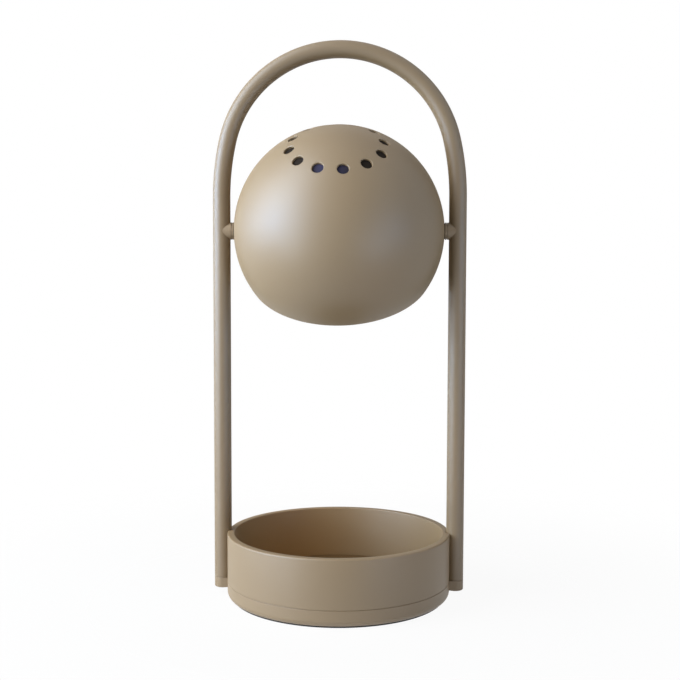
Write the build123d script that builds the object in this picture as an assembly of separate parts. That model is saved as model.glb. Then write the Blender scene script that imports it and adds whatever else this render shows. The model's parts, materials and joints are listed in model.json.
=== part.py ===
from build123d import *
import os
from math import atan2, cos, pi, radians, sin, sqrt

# Portable table lamp: a ball shade tilts in a tube hoop that stands on a round tray.
# Millimetres, +Z up. The origin is under the middle of the base, and the ball's pivots lie along X.

# Fits and cuts
overrun = 1.0
fit_gap = 0.04
running_gap = 0.05
running_clearance = 0.05
loose_gap = 0.3

# Ball shade, in its own frame: its axis points up through the ring of vents
ball_outer_radius = 60.0
ball_wall = 1.2
mouth_polar_deg = 118.0
mouth_edge_round = 0.35
vent_count = 12
vent_radius = 3.2
vent_chamfer = 0.3
vent_polar_deg = 25.8
vent_phase_deg = 9.8
pivot_height = 211.0
rest_tilt_deg = 33.3
tilt_limit_deg = 90.0
stop_margin_deg = 1.5

# Hoop
tube_outer_radius = 5.0
tube_wall = 1.0
crown_inset = 2.0
shoulder_radius = 145.0
shoulder_rise = 19.2

# Tray ring and floor
flute_depth = 1.85
flute_gap = 0.05
ring_wall = 4.15
rim_height = 37.5
rim_outer_round = 0.9
rim_inner_round = 0.5
seam_height = 10.0
seam_chamfer = 0.25
lip_width = 2.7
lip_thickness = 1.2
floor_height = 7.5
floor_thickness = 1.5
floor_edge_gap = 0.8
floor_edge_round = 0.3

# Base pan, its ears and the pad under it
pan_wall = 2.25
pan_bottom = 1.2
pan_corner_round = 3.5
pan_inner_round = 2.0
spigot_gap = 0.1
ear_height = 6.0
ear_wall = 1.2
ear_floor = 1.2
ear_edge_round = 0.6
pad_thickness = 0.8
pad_inset = 0.35
pad_edge_round = 0.25

# Case screws, with the posts and bosses that they join
case_screw_count = 4
case_screw_inset = 9.4
case_screw_start_deg = 45.0
case_screw_radius = 1.5
case_head_radius = 2.75
case_head_height = 1.45
case_socket_radius = 1.25
case_socket_depth = 0.8
case_tip_cover = 0.5
boss_radius = 4.5
boss_height = 1.4
boss_bore_gap = 0.2
boss_web = 1.0
post_radius = 3.5

# Pivots, from the tube inwards
bush_radius = 4.9
bush_stub = 1.0
bush_edge_chamfer = 0.15
spacer_thickness = 1.3
friction_thickness = 0.35
friction_inset = 0.45
bolt_radius = 2.5
bolt_bore_radius = 1.6
bolt_head_flats = 8.0
bolt_head_height = 3.0
bearing_sleeve_radius = 3.5
bearing_flange_radius = 6.5
bearing_flange_thickness = 1.2
bearing_seat_margin = 0.4
seat_pad_margin = 0.6
stop_wall = 1.3
stop_tab_width_deg = 30.0
stop_thickness = 0.8
spring_thickness = 0.45
spring_rise = 0.35
spring_outer_radius = 4.6

# Light unit in the ball
plate_drop = 9.8
plate_thickness = 1.2
plate_edge_gap = 0.5
plate_hole_count = 8
plate_hole_radius = 5.0
plate_hole_gap = 3.0
lug_count = 3
lug_start_deg = 90.0
lug_reach = 8.5
lug_width = 8.0
lug_thickness = 3.0
plate_screw_inset = 4.5
plate_screw_radius = 1.25
plate_head_radius = 2.3
plate_head_height = 1.4
sink_share = 0.706
sink_base = 3.0
fin_count = 9
fin_thickness = 1.2
fin_height = 12.0
led_board_share = 0.594
led_board_thickness = 1.6
emitter_radius = 7.0
emitter_thickness = 0.8
sink_screw_count = 2
sink_screw_circle = 11.5
sink_screw_radius = 1.25
sink_head_radius = 2.2
sink_head_height = 1.4
sink_screw_bite = 2.2
reflector_neck_radius = 14.4
reflector_wall = 0.8
reflector_flange = 2.5
diffuser_thickness = 2.0
diffuser_entry_gap = 0.4
mouth_recess = 3.2
clip_wire_radius = 0.9
clip_opening_deg = 9.0
clip_gap = 0.1

# Battery and control board in the base
cell_thickness = 3.5
cell_post_gap = 0.85
cell_wall_gap = 13.7
cell_edge_round = 1.2
cell_fold_depth = 5.0
cell_fold_thickness = 1.6
cell_board_gap = 4.0
board_wall_gap = 8.1
board_width = 46.0
board_depth = 28.0
board_thickness = 1.0
board_post_height = 0.8
board_post_radius = 2.2
board_post_inset = 3.6
board_tongue_width = 16.0
board_tongue_reach = 6.0
board_screw_radius = 0.95
board_head_radius = 1.8
board_head_height = 1.1
board_screw_bite = 1.5
chip_height = 1.3
# middle x and y as shares of the board's half width and depth, then width and depth as shares of the board's
chip_shares = (
    (-0.45, 0.35, 0.16, 0.26),
    (0.1, 0.4, 0.11, 0.18),
    (0.5, 0.3, 0.13, 0.2),
    (-0.1, 0.75, 0.2, 0.1),
)
usb_width = 8.94
usb_height = 3.2
usb_depth = 7.3
usb_shell = 0.3
usb_recess = 0.75
usb_tongue_width = 6.7
usb_tongue_height = 0.7
usb_tongue_setback = 0.8
usb_pocket_depth = 6.0
usb_lift = 0.9
usb_gap = 0.12
button_angle_deg = 18.0
button_width = 7.0
button_height = 2.8
button_proud = 0.6
button_travel = 0.6
button_gap = 0.1
button_flange_lip = 0.9
button_flange_thickness = 0.9
button_seat_gap = 0.4
stem_radius = 0.6
stem_length = 2.4
switch_width = 6.0
switch_depth = 3.6
switch_height = 2.0
notch_side_gap = 0.5
notch_height = 2.4
notch_reach = 12.0

# Leads
lead_radius = 1.1
lead_gap = 0.1
lead_slot_gap = 0.5
lead_floor_gap = 0.3
lead_pivot_tail = 6.0
lead_pivot_bend = 3.2
lead_ear_bend = 2.8
lead_low_bend = 3.0
lead_turn_bend = 4.0
lead_corner_bend = 8.0
lead_start_inset = 2.0
lead_corner_share = 0.62
lead_turn_share = 0.8
lead_rise_share = 0.945
grommet_wall = 0.9
grommet_lip = 0.9
grommet_lip_thickness = 0.7

# Worked out: pivots, measured outwards from the ball's centre
ball_inner_radius = ball_outer_radius - ball_wall
mouth_drop = -ball_outer_radius * cos(radians(mouth_polar_deg))
pivot_flat = sqrt(ball_outer_radius ** 2 - bush_radius ** 2)
friction_start = pivot_flat + running_gap
spacer_start = friction_start + friction_thickness
bush_start = spacer_start + spacer_thickness
leg_half_span = bush_start + bush_stub + tube_outer_radius
bearing_seat_radius = bearing_flange_radius + bearing_seat_margin
bearing_seat = sqrt(ball_inner_radius ** 2 - bearing_seat_radius ** 2)
bearing_face = bearing_seat - bearing_flange_thickness
spring_start = bearing_face - running_gap
spring_end = spring_start - spring_thickness - spring_rise
stop_end = spring_end - stop_thickness
head_end = stop_end - bolt_head_height
tube_inner_radius = tube_outer_radius - tube_wall
bolt_tip = leg_half_span - tube_inner_radius

# Worked out: hoop
crown_radius = leg_half_span - crown_inset
shoulder_height = pivot_height + shoulder_rise
shoulder_reach = shoulder_radius - crown_radius
crown_height = shoulder_height + sqrt(shoulder_reach ** 2 - (shoulder_radius - leg_half_span) ** 2)
shoulder_turn = atan2(crown_height - shoulder_height, shoulder_radius - leg_half_span)

# Worked out: tray and base
ring_outer_radius = leg_half_span - tube_outer_radius + flute_depth
ring_inner_radius = ring_outer_radius - ring_wall
pan_inner_radius = ring_outer_radius - pan_wall
spigot_radius = pan_inner_radius - spigot_gap
floor_radius = ring_inner_radius - floor_edge_gap
floor_underside = floor_height - floor_thickness
lip_radius = ring_inner_radius - lip_width
lip_underside = floor_underside - lip_thickness
notch_top = lip_underside + notch_height
cavity_low = pad_thickness + pan_bottom
ear_low = seam_height - ear_height
ear_inside = ear_low + ear_floor
case_screw_circle = floor_radius - case_screw_inset
boss_top = cavity_low + boss_height
head_seat = boss_top - boss_web
case_tip = floor_height - case_tip_cover
board_low = cavity_low + board_post_height
board_top = board_low + board_thickness
board_rear = pan_inner_radius - board_wall_gap
board_front = board_rear - board_depth
cell_half_width = case_screw_circle * cos(radians(case_screw_start_deg)) - boss_radius - cell_post_gap
cell_front = -sqrt((pan_inner_radius - cell_wall_gap) ** 2 - cell_half_width ** 2)
cell_back = board_front - cell_board_gap
usb_front = ring_outer_radius - usb_recess
usb_level = board_low + board_thickness / 2 + usb_lift
button_level = board_top + switch_height / 2
button_face = ring_outer_radius + button_proud
flange_front = pan_inner_radius - button_seat_gap
flange_back = flange_front - button_flange_thickness
switch_front = flange_back - button_travel - loose_gap

# Worked out: light unit, heights in the ball's frame
plate_top = -plate_drop
plate_low = plate_top - plate_thickness
plate_radius = sqrt(ball_inner_radius ** 2 - plate_low ** 2) - plate_edge_gap
lug_radius = plate_radius - lug_reach
plate_screw_circle = plate_radius - plate_screw_inset
led_board_radius = plate_radius * led_board_share
sink_radius = led_board_radius * sink_share
plate_hole_circle = led_board_radius + plate_hole_gap + plate_hole_radius
led_board_low = plate_low - led_board_thickness
diffuser_low = mouth_recess - mouth_drop
diffuser_top = diffuser_low + diffuser_thickness
mouth_inner_radius = sqrt(ball_inner_radius ** 2 - mouth_drop ** 2)
diffuser_radius = mouth_inner_radius - diffuser_entry_gap
clip_level = diffuser_low - clip_wire_radius
clip_radius = sqrt((ball_inner_radius - clip_gap - clip_wire_radius) ** 2 - clip_level ** 2)
grommet_radius = lead_radius + grommet_wall
lead_drop_x = -(sink_radius + led_board_radius) / 2

SIDES = {"left": -1, "right": 1}
UPRIGHT = (Align.CENTER, Align.CENTER, Align.MIN)
UPRIGHT_WEDGE = (Align.NONE, Align.NONE, Align.MIN)
BALL_PLACE = Pos(0, 0, pivot_height) * Rot(rest_tilt_deg, 0, 0)


# Shared shapes

def rod(radius, low, high):
    """Upright round bar about Z between two heights."""
    return Pos(0, 0, low) * Cylinder(radius, high - low, align=UPRIGHT)


def collar(outer, inner, low, high):
    """Upright ring about Z between two heights."""
    return rod(outer, low, high) - rod(inner, low - overrun, high + overrun)


def block(left, right, front, back, low, high):
    """Square-edged block between six planes."""
    corner = Pos((left + right) / 2, (front + back) / 2, low)
    return corner * Box(right - left, back - front, high - low, align=UPRIGHT)


def turned(*corners):
    """Solid turned about Z; a corner of its outline is a radius, a height and, where rounded, a rounding."""
    points = [(corner[0], 0, corner[1]) for corner in corners]
    rounds = [corner[2] if len(corner) == 3 else 0 for corner in corners]
    outline = FilletPolyline(*points, radius=rounds, close=True)
    return revolve(make_face(outline), Axis.Z)


def pill(width, height, near, far, level):
    """Bar with round ends along +Y, centred at a height."""
    plane = Plane(origin=(0, near, level), x_dir=(1, 0, 0), z_dir=(0, 1, 0))
    return extrude(plane * SlotOverall(width, height), far - near)


def spread(count, circle, start_deg):
    """Places on a circle about Z, evenly turned."""
    return [Rot(0, 0, start_deg + 360 * step / count) * Pos(circle, 0, 0) for step in range(count)]


def pivot_place(side, height):
    """Frame of one pivot: Z outwards along the pivot's axis, X up."""
    return Plane(origin=(0, 0, height), x_dir=(0, 0, 1), z_dir=(SIDES[side], 0, 0)).location


def sector(radius, low, high, middle_deg, width_deg):
    """Wedge of a round bar about Z, centred on a direction."""
    half = width_deg / 2
    wedge = Pos(0, 0, low) * Cylinder(radius, high - low, arc_size=width_deg, align=UPRIGHT_WEDGE)
    return Rot(0, 0, middle_deg - half) * wedge


def screw(shank_radius, head_radius, head_height, seat, tip, socket_radius, socket_depth):
    """Screw along +Z: its head lies below the seat and its tip points up."""
    body = rod(head_radius, seat - head_height, seat) + rod(shank_radius, seat, tip)
    socket_low = seat - head_height - overrun
    socket = Pos(0, 0, socket_low) * RegularPolygon(socket_radius, 6)
    return body - extrude(socket, overrun + socket_depth)


def lead(points, bends):
    """Round lead through points whose corners are rounded by the bends."""
    route = FilletPolyline(*points, radius=bends)
    start = Plane(origin=route @ 0, z_dir=route % 0)
    body = sweep(start * Circle(lead_radius), path=route)
    print("lead", round(route.length, 1), "mm, volume over section times length",
          round(body.volume / (pi * lead_radius ** 2 * route.length), 4))
    return body


# Hoop

def hoop_route():
    """Legs, shoulders and crown as straight runs and tangent arcs, from the left foot to the right."""
    def shoulder(side, turn):
        across = leg_half_span - shoulder_radius + shoulder_radius * cos(turn)
        return (side * across, 0, shoulder_height + shoulder_radius * sin(turn))

    half_turn = shoulder_turn / 2
    left_foot = (-leg_half_span, 0, seam_height)
    right_foot = (leg_half_span, 0, seam_height)
    crown_top = (0, 0, crown_height + crown_radius)
    return Wire([
        Line(left_foot, shoulder(-1, 0)),
        ThreePointArc(shoulder(-1, 0), shoulder(-1, half_turn), shoulder(-1, shoulder_turn)),
        ThreePointArc(shoulder(-1, shoulder_turn), crown_top, shoulder(1, shoulder_turn)),
        ThreePointArc(shoulder(1, shoulder_turn), shoulder(1, half_turn), shoulder(1, 0)),
        Line(shoulder(1, 0), right_foot),
    ])


def hoop_tube():
    route = hoop_route()
    foot = Pos(-leg_half_span, 0, seam_height)
    section = Circle(tube_outer_radius) - Circle(tube_inner_radius)
    tube = sweep(foot * section, path=route)
    for side in SIDES:
        tube -= pivot_place(side, pivot_height) * rod(bolt_radius + fit_gap, bush_start, leg_half_span)
    return tube


# Tray and base

def rear_cut(width, angle_deg):
    """Clear way through the ring's spigot for a piece that reaches the pan's wall."""
    half = width / 2 + notch_side_gap
    near = pan_inner_radius - notch_reach
    way = block(-half, half, near, ring_outer_radius, lip_underside - overrun, notch_top)
    keep_out = collar(ring_outer_radius + overrun, spigot_radius + spigot_gap / 2, 0, rim_height)
    return Rot(0, 0, -angle_deg) * (way - keep_out)


def lead_way(low):
    """Slot for the lead from the base's cavity into the left ear, open up to the seam."""
    half = lead_radius + lead_slot_gap
    return block(-leg_half_span, -lip_radius + overrun, -half, half, low, seam_height)


def tray_ring():
    ring = turned(
        (ring_outer_radius, rim_height, rim_outer_round),
        (ring_inner_radius, rim_height, rim_inner_round),
        (ring_inner_radius, floor_underside),
        (lip_radius, floor_underside),
        (lip_radius, lip_underside),
        (spigot_radius, lip_underside),
        (spigot_radius, seam_height),
        (ring_outer_radius - seam_chamfer, seam_height),
        (ring_outer_radius, seam_height + seam_chamfer),
    )
    for side in SIDES.values():
        flute = rod(tube_outer_radius + flute_gap, seam_height, rim_height + overrun)
        ring -= Pos(side * leg_half_span, 0, 0) * flute
    ring -= rear_cut(usb_width, 0)
    ring -= rear_cut(button_width + 2 * button_flange_lip, button_angle_deg)
    return ring - lead_way(lip_underside - overrun)


def tray_floor():
    floor = turned(
        (0, floor_height),
        (0, floor_underside),
        (floor_radius, floor_underside),
        (floor_radius, floor_height, floor_edge_round),
    )
    for place in spread(case_screw_count, case_screw_circle, case_screw_start_deg):
        floor += place * rod(post_radius, boss_top + fit_gap, floor_underside)
        floor -= place * rod(case_screw_radius + fit_gap, boss_top, case_tip + fit_gap)
    return floor


def base_pan():
    pan = turned(
        (0, pad_thickness),
        (ring_outer_radius, pad_thickness, pan_corner_round),
        (ring_outer_radius, seam_height - seam_chamfer),
        (ring_outer_radius - seam_chamfer, seam_height),
        (pan_inner_radius, seam_height),
        (pan_inner_radius, cavity_low, pan_inner_round),
        (0, cavity_low),
    )
    for side in SIDES.values():
        ear = turned(
            (0, ear_low),
            (tube_outer_radius, ear_low, ear_edge_round),
            (tube_outer_radius, seam_height - seam_chamfer),
            (tube_outer_radius - seam_chamfer, seam_height),
            (0, seam_height),
        )
        keep_out = rod(pan_inner_radius + pan_wall / 2, 0, seam_height)
        pan += Pos(side * leg_half_span, 0, 0) * ear - keep_out
        inside = rod(tube_outer_radius - ear_wall, ear_inside, seam_height + overrun)
        pan -= Pos(side * leg_half_span, 0, 0) * inside
    for place in spread(case_screw_count, case_screw_circle, case_screw_start_deg):
        pan += place * rod(boss_radius, cavity_low, boss_top)
        pan -= place * rod(case_head_radius + boss_bore_gap, 0, head_seat)
        pan -= place * rod(case_screw_radius + boss_bore_gap, 0, boss_top + overrun)
    for place in board_posts():
        pan += place * rod(board_post_radius, cavity_low, board_low)
        screw_low = board_top - board_screw_bite - fit_gap
        pan -= place * rod(board_screw_radius + fit_gap, screw_low, board_low + overrun)
    wall_near = pan_inner_radius - pan_inner_round
    pan -= pill(usb_width + 2 * usb_gap, usb_height + 2 * usb_gap, wall_near, button_face, usb_level)
    opening_width = button_width + 2 * button_gap
    opening_height = button_height + 2 * button_gap
    pan -= button_turn() * pill(opening_width, opening_height, wall_near, button_face, button_level)
    return pan - lead_way(ear_inside - lead_floor_gap)


def foot_pad():
    pad_radius = ring_outer_radius - pan_corner_round - pad_inset
    return turned((0, 0), (pad_radius, 0, pad_edge_round), (pad_radius, pad_thickness), (0, pad_thickness))


def case_screws():
    one = screw(case_screw_radius, case_head_radius, case_head_height, head_seat, case_tip,
                case_socket_radius, case_socket_depth)
    places = spread(case_screw_count, case_screw_circle, case_screw_start_deg)
    return Compound([place * one for place in places])


# Battery, control board and switch

def battery_cell():
    half = cell_half_width
    pouch_back = cell_back - cell_fold_depth
    pouch = block(-half, half, cell_front, pouch_back, cavity_low, cavity_low + cell_thickness)
    pouch = fillet(pouch.edges().filter_by(Axis.Z), cell_edge_round)
    fold_half = half - cell_edge_round
    fold_top = cavity_low + cell_fold_thickness
    return pouch + block(-fold_half, fold_half, pouch_back - overrun, cell_back, cavity_low, fold_top)


def board_posts():
    """Places of the two posts, near the board's front corners."""
    across = board_width / 2 - board_post_inset
    return [Pos(side * across, board_front + board_post_inset, 0) for side in SIDES.values()]


def control_board():
    half = board_width / 2
    board = block(-half, half, board_front, board_rear, board_low, board_top)
    tongue_half = board_tongue_width / 2
    board += block(-tongue_half, tongue_half, board_rear - overrun, board_rear + board_tongue_reach,
                   board_low, board_top)
    for across, along, width, depth in chip_shares:
        middle = Pos(across * half, board_front + along * board_depth, board_top)
        board += middle * Box(width * board_width, depth * board_depth, chip_height, align=UPRIGHT)
    usb_half = usb_width / 2 + fit_gap
    usb_back = usb_front - usb_depth - fit_gap
    board -= block(-usb_half, usb_half, usb_back, usb_front, 0, seam_height)
    for place in board_posts():
        board -= place * rod(board_screw_radius + fit_gap, 0, seam_height)
    return board


def board_screws():
    one = rod(board_head_radius, board_top, board_top + board_head_height)
    one += rod(board_screw_radius, board_top - board_screw_bite, board_top)
    return Compound([place * one for place in board_posts()])


def usb_socket():
    shell = pill(usb_width, usb_height, usb_front - usb_depth, usb_front, usb_level)
    inner_width = usb_width - 2 * usb_shell
    inner_height = usb_height - 2 * usb_shell
    shell -= pill(inner_width, inner_height, usb_front - usb_pocket_depth, usb_front + overrun, usb_level)
    tongue_half = usb_tongue_width / 2
    tongue_low = usb_level - usb_tongue_height / 2
    return shell + block(-tongue_half, tongue_half, usb_front - usb_depth + usb_shell,
                         usb_front - usb_tongue_setback, tongue_low, tongue_low + usb_tongue_height)


def button_turn():
    return Rot(0, 0, -button_angle_deg)


def stem(radius, tip):
    """Round stem of the button, from its flange inwards to a tip."""
    plane = Plane(origin=(0, tip, button_level), x_dir=(1, 0, 0), z_dir=(0, 1, 0))
    return extrude(plane * Circle(radius), flange_back - tip)


def power_button():
    cap = pill(button_width, button_height, flange_front, button_face + overrun, button_level)
    cap &= rod(button_face, 0, rim_height)
    flange_width = button_width + 2 * button_flange_lip
    flange_height = button_height + 2 * button_gap
    cap += pill(flange_width, flange_height, flange_back, flange_front, button_level)
    return button_turn() * (cap + stem(stem_radius, flange_back - stem_length))


def tact_switch():
    half = switch_width / 2
    body = block(-half, half, switch_front - switch_depth, switch_front, board_top, board_top + switch_height)
    hole_end = flange_back - stem_length - button_travel - loose_gap
    return button_turn() * (body - stem(stem_radius + running_clearance, hole_end))


# Pivots

def saddle_bush(side):
    bush = turned(
        (bolt_radius + fit_gap, bush_start),
        (bush_radius - bush_edge_chamfer, bush_start),
        (bush_radius, bush_start + bush_edge_chamfer),
        (bush_radius, leg_half_span),
        (bolt_radius + fit_gap, leg_half_span),
    )
    leg = rod(tube_outer_radius + fit_gap, seam_height, shoulder_height)
    return pivot_place(side, pivot_height) * bush - Pos(SIDES[side] * leg_half_span, 0, 0) * leg


def pivot_spacer(side):
    spacer = turned(
        (bolt_radius + fit_gap, spacer_start),
        (bush_radius - bush_edge_chamfer, spacer_start),
        (bush_radius, spacer_start + bush_edge_chamfer),
        (bush_radius, bush_start - bush_edge_chamfer),
        (bush_radius - bush_edge_chamfer, bush_start),
        (bolt_radius + fit_gap, bush_start),
    )
    return pivot_place(side, pivot_height) * spacer


def friction_washer(side):
    washer = collar(bush_radius - friction_inset, bolt_radius + fit_gap, friction_start, spacer_start)
    return pivot_place(side, pivot_height) * washer


def pivot_bolt(side):
    bolt = rod(bolt_radius, stop_end, bolt_tip)
    head = Pos(0, 0, head_end) * RegularPolygon(bolt_head_flats / 2, 6, major_radius=False)
    bolt += extrude(head, bolt_head_height)
    if side == "left":
        bolt -= rod(bolt_bore_radius, head_end - overrun, bolt_tip + overrun)
    return pivot_place(side, pivot_height) * bolt


def spring_washer(side):
    inner = bolt_radius + running_clearance
    cone = turned(
        (inner, spring_end),
        (inner, spring_end + spring_thickness),
        (spring_outer_radius, spring_start),
        (spring_outer_radius, spring_start - spring_thickness),
    )
    return pivot_place(side, pivot_height) * cone


def stop_washer(side):
    stop_inner_radius = bearing_flange_radius - stop_wall
    tab_reach = bearing_flange_radius - fit_gap
    washer = rod(stop_inner_radius - loose_gap, stop_end, spring_end)
    washer += sector(tab_reach, stop_end, spring_end, 0, stop_tab_width_deg)
    washer -= rod(bolt_radius + fit_gap, stop_end - overrun, spring_end + overrun)
    return pivot_place(side, pivot_height) * washer


def pivot_bearing(side):
    """Flanged bearing pressed into the ball, with a curved wall that meets the stop washer's tab."""
    bearing = rod(bearing_flange_radius, bearing_face, bearing_seat)
    bearing += rod(bearing_sleeve_radius, bearing_seat, pivot_flat)
    wall_width = 360 - 2 * tilt_limit_deg - stop_tab_width_deg - 2 * stop_margin_deg
    wall = sector(bearing_flange_radius, stop_end, bearing_seat, 180, wall_width)
    bearing += wall - rod(bearing_flange_radius - stop_wall, stop_end - overrun, bearing_face)
    bearing -= rod(bolt_radius + running_clearance, stop_end - overrun, pivot_flat + overrun)
    return BALL_PLACE * pivot_place(side, 0) * bearing


# Ball shade and the light unit in it

def ball_shade():
    mouth_outer_radius = sqrt(ball_outer_radius ** 2 - mouth_drop ** 2)
    shell = Sphere(ball_outer_radius)
    for side in SIDES:
        shell -= pivot_place(side, 0) * rod(ball_outer_radius, pivot_flat, ball_outer_radius + overrun)
    inside = Sphere(ball_inner_radius)
    seat_pad_radius = bearing_seat_radius + seat_pad_margin
    for side in SIDES:
        inside -= pivot_place(side, 0) * rod(seat_pad_radius, bearing_seat, ball_outer_radius)
    shell -= inside
    shell -= rod(mouth_outer_radius + overrun, -ball_outer_radius - overrun, -mouth_drop)
    rim = shell.edges().filter_by(GeomType.CIRCLE).sort_by(Axis.Z)[0:2]
    shell = fillet(rim, min(mouth_edge_round, ball_wall / 3))
    for side in SIDES:
        shell -= pivot_place(side, 0) * rod(bearing_sleeve_radius + fit_gap, 0, ball_outer_radius)
    vent = rod(vent_radius, ball_inner_radius - ball_wall, ball_outer_radius + overrun)
    flare_low = ball_outer_radius - vent_chamfer
    flare = Cone(vent_radius, vent_radius + vent_chamfer + overrun, vent_chamfer + overrun, align=UPRIGHT)
    vent += Pos(0, 0, flare_low) * flare
    for place in spread(vent_count, 0, vent_phase_deg):
        shell -= place * Rot(0, vent_polar_deg, 0) * vent
    lug_half = lug_width / 2
    lug_top = plate_top + lug_thickness
    lug = block(0, ball_outer_radius, -lug_half, lug_half, plate_top, lug_top)
    lug -= rod(lug_radius, plate_top - overrun, 0)
    for place in spread(lug_count, 0, lug_start_deg):
        shell += place * lug & Sphere(ball_inner_radius + ball_wall / 2)
    for place in spread(lug_count, plate_screw_circle, lug_start_deg):
        shell -= place * rod(plate_screw_radius + fit_gap, plate_top - overrun, lug_top + overrun)
    return BALL_PLACE * shell


def mount_plate():
    plate = rod(plate_radius, plate_low, plate_top)
    for place in spread(plate_hole_count, plate_hole_circle, 180 / plate_hole_count):
        plate -= place * rod(plate_hole_radius, plate_low - overrun, plate_top + overrun)
    for place in spread(lug_count, plate_screw_circle, lug_start_deg):
        plate -= place * rod(plate_screw_radius + loose_gap, plate_low - overrun, plate_top + overrun)
    for place in spread(sink_screw_count, sink_screw_circle, lug_start_deg):
        plate -= place * rod(sink_screw_radius + fit_gap, plate_low - overrun, plate_top + overrun)
    plate -= Pos(lead_drop_x, 0, 0) * rod(grommet_radius, plate_low - overrun, plate_top + overrun)
    return BALL_PLACE * plate


def plate_screws():
    tip = plate_top + lug_thickness
    one = screw(plate_screw_radius, plate_head_radius, plate_head_height, plate_low, tip,
                plate_screw_radius, plate_head_height / 2)
    places = spread(lug_count, plate_screw_circle, lug_start_deg)
    return BALL_PLACE * Compound([place * one for place in places])


def heat_sink():
    base_top = plate_top + sink_base
    fin_low = base_top - fit_gap
    fin_top = base_top + fin_height
    sink = rod(sink_radius, plate_top, base_top)
    pitch = (2 * sink_radius - fin_thickness) / (fin_count + 1)
    for step in range(fin_count):
        left = (step - (fin_count - 1) / 2) * pitch - fin_thickness / 2
        fin = block(left, left + fin_thickness, -sink_radius, sink_radius, fin_low, fin_top)
        sink += fin & rod(sink_radius, plate_top, fin_top)
    hole_top = plate_top + sink_screw_bite + fit_gap
    for place in spread(sink_screw_count, sink_screw_circle, lug_start_deg):
        sink -= place * rod(sink_screw_radius + fit_gap, plate_top - overrun, hole_top)
    return BALL_PLACE * sink


def led_board():
    board = rod(led_board_radius, led_board_low, plate_low)
    for place in spread(sink_screw_count, sink_screw_circle, lug_start_deg):
        board -= place * rod(sink_screw_radius + fit_gap, led_board_low - overrun, plate_low + overrun)
    return BALL_PLACE * board


def led_emitter():
    return BALL_PLACE * rod(emitter_radius, led_board_low - emitter_thickness, led_board_low)


def heat_sink_screws():
    tip = plate_top + sink_screw_bite
    one = screw(sink_screw_radius, sink_head_radius, sink_head_height, led_board_low, tip,
                sink_screw_radius, sink_head_height / 2)
    places = spread(sink_screw_count, sink_screw_circle, lug_start_deg)
    return BALL_PLACE * Compound([place * one for place in places])


def reflector():
    cone = turned(
        (reflector_neck_radius, led_board_low),
        (reflector_neck_radius, led_board_low - reflector_wall),
        (diffuser_radius - reflector_flange, diffuser_top),
        (diffuser_radius, diffuser_top),
        (diffuser_radius, diffuser_top + reflector_wall),
        (diffuser_radius - reflector_flange, diffuser_top + reflector_wall),
    )
    return BALL_PLACE * cone


def diffuser():
    return BALL_PLACE * rod(diffuser_radius, diffuser_low, diffuser_top)


def retaining_ring():
    section = Plane(origin=(clip_radius, 0, clip_level), x_dir=(1, 0, 0), z_dir=(0, 1, 0))
    wire = section * Circle(clip_wire_radius)
    return BALL_PLACE * revolve(wire, Axis.Z, 360 - clip_opening_deg)


# Leads

def power_lead():
    """From the control board along the base, up the left leg and out through the hollow pivot bolt."""
    level = cavity_low + lead_radius + lead_floor_gap
    ear_level = ear_inside + lead_radius + lead_floor_gap
    start_y = board_front + lead_start_inset
    points = [
        (-board_width / 2 - lead_gap, start_y, level),
        (-pan_inner_radius * lead_corner_share, start_y, level),
        (-pan_inner_radius * lead_turn_share, 0, level),
        (-pan_inner_radius * lead_rise_share, 0, level),
        (-pan_inner_radius, 0, ear_level),
        (-leg_half_span, 0, ear_level),
        (-leg_half_span, 0, pivot_height),
        (-head_end + lead_pivot_tail, 0, pivot_height),
    ]
    bends = [lead_corner_bend, lead_turn_bend, lead_low_bend, lead_low_bend, lead_ear_bend, lead_pivot_bend]
    return lead(points, bends)


def shade_lead():
    """From the pivot, on its axis, down through the mount plate to the top of the LED board."""
    points = [
        (-head_end + lead_pivot_tail + lead_gap, 0, 0),
        (lead_drop_x, 0, 0),
        (lead_drop_x, 0, plate_low + lead_gap),
    ]
    return BALL_PLACE * lead(points, [lead_corner_bend])


def lead_grommet():
    bore = lead_radius + fit_gap
    lip = grommet_radius + grommet_lip
    neck = grommet_radius - fit_gap
    grommet = turned(
        (bore, plate_low),
        (neck, plate_low),
        (neck, plate_top),
        (lip, plate_top),
        (lip, plate_top + grommet_lip_thickness),
        (bore, plate_top + grommet_lip_thickness),
    )
    return BALL_PLACE * Pos(lead_drop_x, 0, 0) * grommet


# Every piece, one file each

ONE_OFF = (
    hoop_tube, tray_ring, tray_floor, base_pan, foot_pad, case_screws,
    battery_cell, control_board, board_screws, usb_socket, power_button, tact_switch, power_lead,
    ball_shade, mount_plate, plate_screws, heat_sink, led_board, led_emitter, heat_sink_screws,
    reflector, diffuser, retaining_ring, shade_lead, lead_grommet,
)
PAIRED = (saddle_bush, pivot_spacer, friction_washer, pivot_bolt, spring_washer, stop_washer, pivot_bearing)

os.makedirs("parts", exist_ok=True)
for make in ONE_OFF:
    export_step(make(), f"parts/{make.__name__}.step")
for make in PAIRED:
    for side in SIDES:
        export_step(make(side), f"parts/{make.__name__}_{side}.step")
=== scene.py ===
# %% [markdown]
# # A portable table lamp
# A painted ball, open below and vented above, tilts between the legs of a tall tube hoop. The hoop is also
# the handle, and it stands on a round open tray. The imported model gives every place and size. This lesson
# dresses it: the pieces that are seen most are made again as fine surfaces from formulas, and every piece
# gets a finish.

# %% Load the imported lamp
import json
from math import acos, cos, degrees, pi, radians, sin, sqrt

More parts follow.
